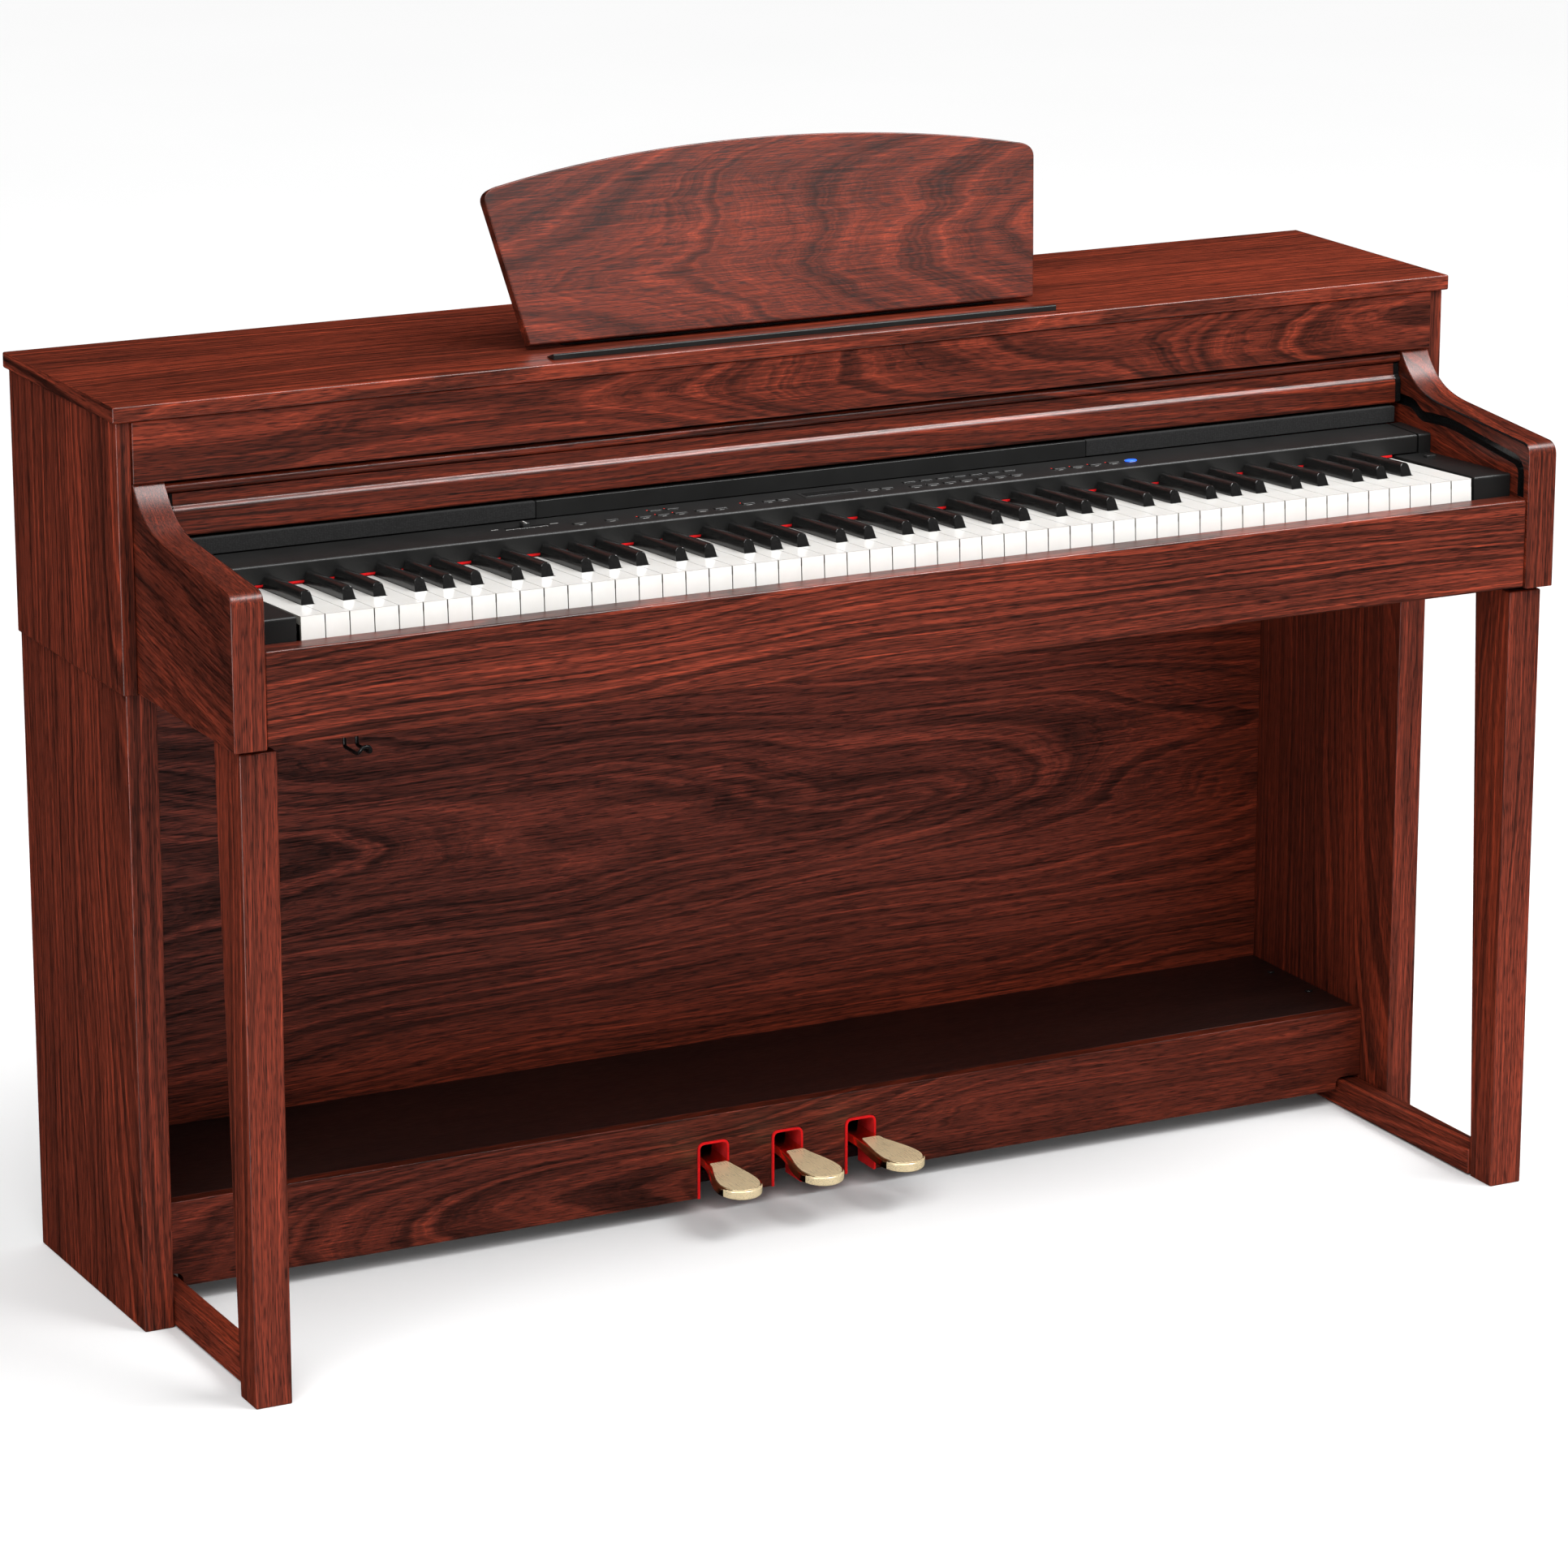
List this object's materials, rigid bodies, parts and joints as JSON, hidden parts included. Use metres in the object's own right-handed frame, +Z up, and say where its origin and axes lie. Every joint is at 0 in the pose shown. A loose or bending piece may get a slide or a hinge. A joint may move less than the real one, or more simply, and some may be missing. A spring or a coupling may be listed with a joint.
{
  "type": "digital piano on stand",
  "caption": "Console digital piano in a wooden cabinet with stand, weighted-style keyboard, sliding key cover, folding music rest, pedals and headphone hook.",
  "frame": {"origin": "on the floor, midway between the sides and midway between the front of the arms and the back of the lid", "axes": "+X to the player's right, -Y to the front where the player sits, +Z up"},
  "size_m": [1.42, 0.514, 1.0587],
  "materials": {
    "wood": "satin mahogany-coloured laminate",
    "dark_board": "very dark brown board",
    "black_plastic": "fine matt black",
    "black_metal": "satin black",
    "speaker": "matt black",
    "circuit": "green circuit board",
    "red_felt": "bright red felt",
    "steel": "plain steel",
    "brass": "polished brass plating",
    "white_key": "glossy off-white",
    "black_key": "matt black"
  },
  "bodies": {
    "piano": {"top_board": "wood", "side_panel_left": "wood", "side_panel_right": "wood", "fascia": "wood", "bullnose_rail": "wood", "arm_left": "wood", "arm_right": "wood", "key_slip": "wood", "side_plank_left": "wood", "side_plank_right": "wood", "front_leg_left": "wood", "front_leg_right": "wood", "foot_rail_left": "wood", "foot_rail_right": "wood", "back_panel": "wood", "pedal_board": "wood", "cabinet_back": "dark_board", "keybed": "dark_board", "pedal_shelf": "dark_board", "control_panel": "black_plastic", "panel_buttons": "black_plastic", "end_block_left": "black_plastic", "end_block_right": "black_plastic", "grille_bar": "black_plastic", "ledge_strip": "black_plastic", "power_inlet": "black_plastic", "headphone_hook": "black_metal", "rest_hinge": "black_metal", "speaker_left": "speaker", "speaker_right": "speaker", "circuit_board": "circuit", "slot_lining": "red_felt", "key_felt": "red_felt", "pedal_frame": "steel", "key_frame": "steel", "white_keys_low": "white_key", "white_keys_high": "white_key", "black_keys_low": "black_key", "black_keys_high": "black_key"},
    "cover": {"key_cover": "wood"},
    "rest": {"music_rest": "wood"},
    "left_stay": {"rest_stay_left": "steel"},
    "right_stay": {"rest_stay_right": "steel"},
    "left_pedal": {"pedal_left": "brass"},
    "centre_pedal": {"pedal_centre": "brass"},
    "right_pedal": {"pedal_right": "brass"},
    "power_cap": {"power_button": "black_plastic"},
    "volume_knob": {"volume_slider": "black_plastic"},
    "c4": {"key_c4": "white_key"},
    "d4": {"key_d4": "white_key"},
    "e4": {"key_e4": "white_key"},
    "f4": {"key_f4": "white_key"},
    "g4": {"key_g4": "white_key"},
    "a4": {"key_a4": "white_key"},
    "b4": {"key_b4": "white_key"},
    "c_sharp4": {"key_c_sharp4": "black_key"},
    "d_sharp4": {"key_d_sharp4": "black_key"},
    "f_sharp4": {"key_f_sharp4": "black_key"},
    "g_sharp4": {"key_g_sharp4": "black_key"},
    "a_sharp4": {"key_a_sharp4": "black_key"}
  },
  "joints": [
    {"name": "c4_press", "type": "hinge", "parent": "piano", "child": "c4", "pos_m": [-0.059, 0, 0.705], "axis": [1, 0, 0], "range_deg": [0, 2.6], "stiffness_Nm_per_rad": 1.5, "springref_deg": -7.45},
    {"name": "c_sharp4_press", "type": "hinge", "parent": "piano", "child": "c_sharp4", "pos_m": [-0.0502, 0, 0.705], "axis": [1, 0, 0], "range_deg": [0, 2.6], "stiffness_Nm_per_rad": 1.5, "springref_deg": -7.45},
    {"name": "d4_press", "type": "hinge", "parent": "piano", "child": "d4", "pos_m": [-0.0354, 0, 0.705], "axis": [1, 0, 0], "range_deg": [0, 2.6], "stiffness_Nm_per_rad": 1.5, "springref_deg": -7.45},
    {"name": "d_sharp4_press", "type": "hinge", "parent": "piano", "child": "d_sharp4", "pos_m": [-0.0206, 0, 0.705], "axis": [1, 0, 0], "range_deg": [0, 2.6], "stiffness_Nm_per_rad": 1.5, "springref_deg": -7.45},
    {"name": "e4_press", "type": "hinge", "parent": "piano", "child": "e4", "pos_m": [-0.0118, 0, 0.705], "axis": [1, 0, 0], "range_deg": [0, 2.6], "stiffness_Nm_per_rad": 1.5, "springref_deg": -7.45},
    {"name": "f4_press", "type": "hinge", "parent": "piano", "child": "f4", "pos_m": [0.0118, 0, 0.705], "axis": [1, 0, 0], "range_deg": [0, 2.6], "stiffness_Nm_per_rad": 1.5, "springref_deg": -7.45},
    {"name": "f_sharp4_press", "type": "hinge", "parent": "piano", "child": "f_sharp4", "pos_m": [0.0196, 0, 0.705], "axis": [1, 0, 0], "range_deg": [0, 2.6], "stiffness_Nm_per_rad": 1.5, "springref_deg": -7.45},
    {"name": "g4_press", "type": "hinge", "parent": "piano", "child": "g4", "pos_m": [0.0354, 0, 0.705], "axis": [1, 0, 0], "range_deg": [0, 2.6], "stiffness_Nm_per_rad": 1.5, "springref_deg": -7.45},
    {"name": "g_sharp4_press", "type": "hinge", "parent": "piano", "child": "g_sharp4", "pos_m": [0.0472, 0, 0.705], "axis": [1, 0, 0], "range_deg": [0, 2.6], "stiffness_Nm_per_rad": 1.5, "springref_deg": -7.45},
    {"name": "a4_press", "type": "hinge", "parent": "piano", "child": "a4", "pos_m": [0.059, 0, 0.705], "axis": [1, 0, 0], "range_deg": [0, 2.6], "stiffness_Nm_per_rad": 1.5, "springref_deg": -7.45},
    {"name": "a_sharp4_press", "type": "hinge", "parent": "piano", "child": "a_sharp4", "pos_m": [0.0748, 0, 0.705], "axis": [1, 0, 0], "range_deg": [0, 2.6], "stiffness_Nm_per_rad": 1.5, "springref_deg": -7.45},
    {"name": "b4_press", "type": "hinge", "parent": "piano", "child": "b4", "pos_m": [0.0826, 0, 0.705], "axis": [1, 0, 0], "range_deg": [0, 2.6], "stiffness_Nm_per_rad": 1.5, "springref_deg": -7.45},
    {"name": "cover_slide", "type": "slide", "parent": "piano", "child": "cover", "axis": [0, -0.9938, -0.1115], "range_m": [0, 0.212]},
    {"name": "rest_tilt", "type": "hinge", "parent": "piano", "child": "rest", "pos_m": [0, 0.0496, 0.8916], "axis": [1, 0, 0], "range_deg": [-71, 0]},
    {"name": "left_stay_fold", "type": "hinge", "parent": "rest", "child": "left_stay", "pos_m": [-0.15, 0.07565, 0.96724], "axis": [1, 0, 0], "range_deg": [0, 142]},
    {"name": "right_stay_fold", "type": "hinge", "parent": "rest", "child": "right_stay", "pos_m": [0.15, 0.07565, 0.96724], "axis": [1, 0, 0], "range_deg": [0, 142]},
    {"name": "left_pedal_press", "type": "hinge", "parent": "piano", "child": "left_pedal", "pos_m": [-0.082, 0.15, 0.056], "axis": [1, 0, 0], "range_deg": [0, 4.3], "stiffness_Nm_per_rad": 30, "springref_deg": -6.3},
    {"name": "centre_pedal_press", "type": "hinge", "parent": "piano", "child": "centre_pedal", "pos_m": [0, 0.15, 0.056], "axis": [1, 0, 0], "range_deg": [0, 4.3], "stiffness_Nm_per_rad": 30, "springref_deg": -6.3},
    {"name": "right_pedal_press", "type": "hinge", "parent": "piano", "child": "right_pedal", "pos_m": [0.082, 0.15, 0.056], "axis": [1, 0, 0], "range_deg": [0, 4.3], "stiffness_Nm_per_rad": 30, "springref_deg": -6.3},
    {"name": "power_press", "type": "slide", "parent": "piano", "child": "power_cap", "axis": [0, 0, -1], "range_m": [0, 0.0018], "stiffness_N_per_m": 300, "springref_m": -0.002},
    {"name": "volume_slide", "type": "slide", "parent": "piano", "child": "volume_knob", "axis": [1, 0, 0], "range_m": [-0.018, 0.018]}
  ],
  "couplings": [
    {"joint": "left_stay_fold", "follows": "rest_tilt", "ratio": -2},
    {"joint": "right_stay_fold", "follows": "rest_tilt", "ratio": -2}
  ]
}
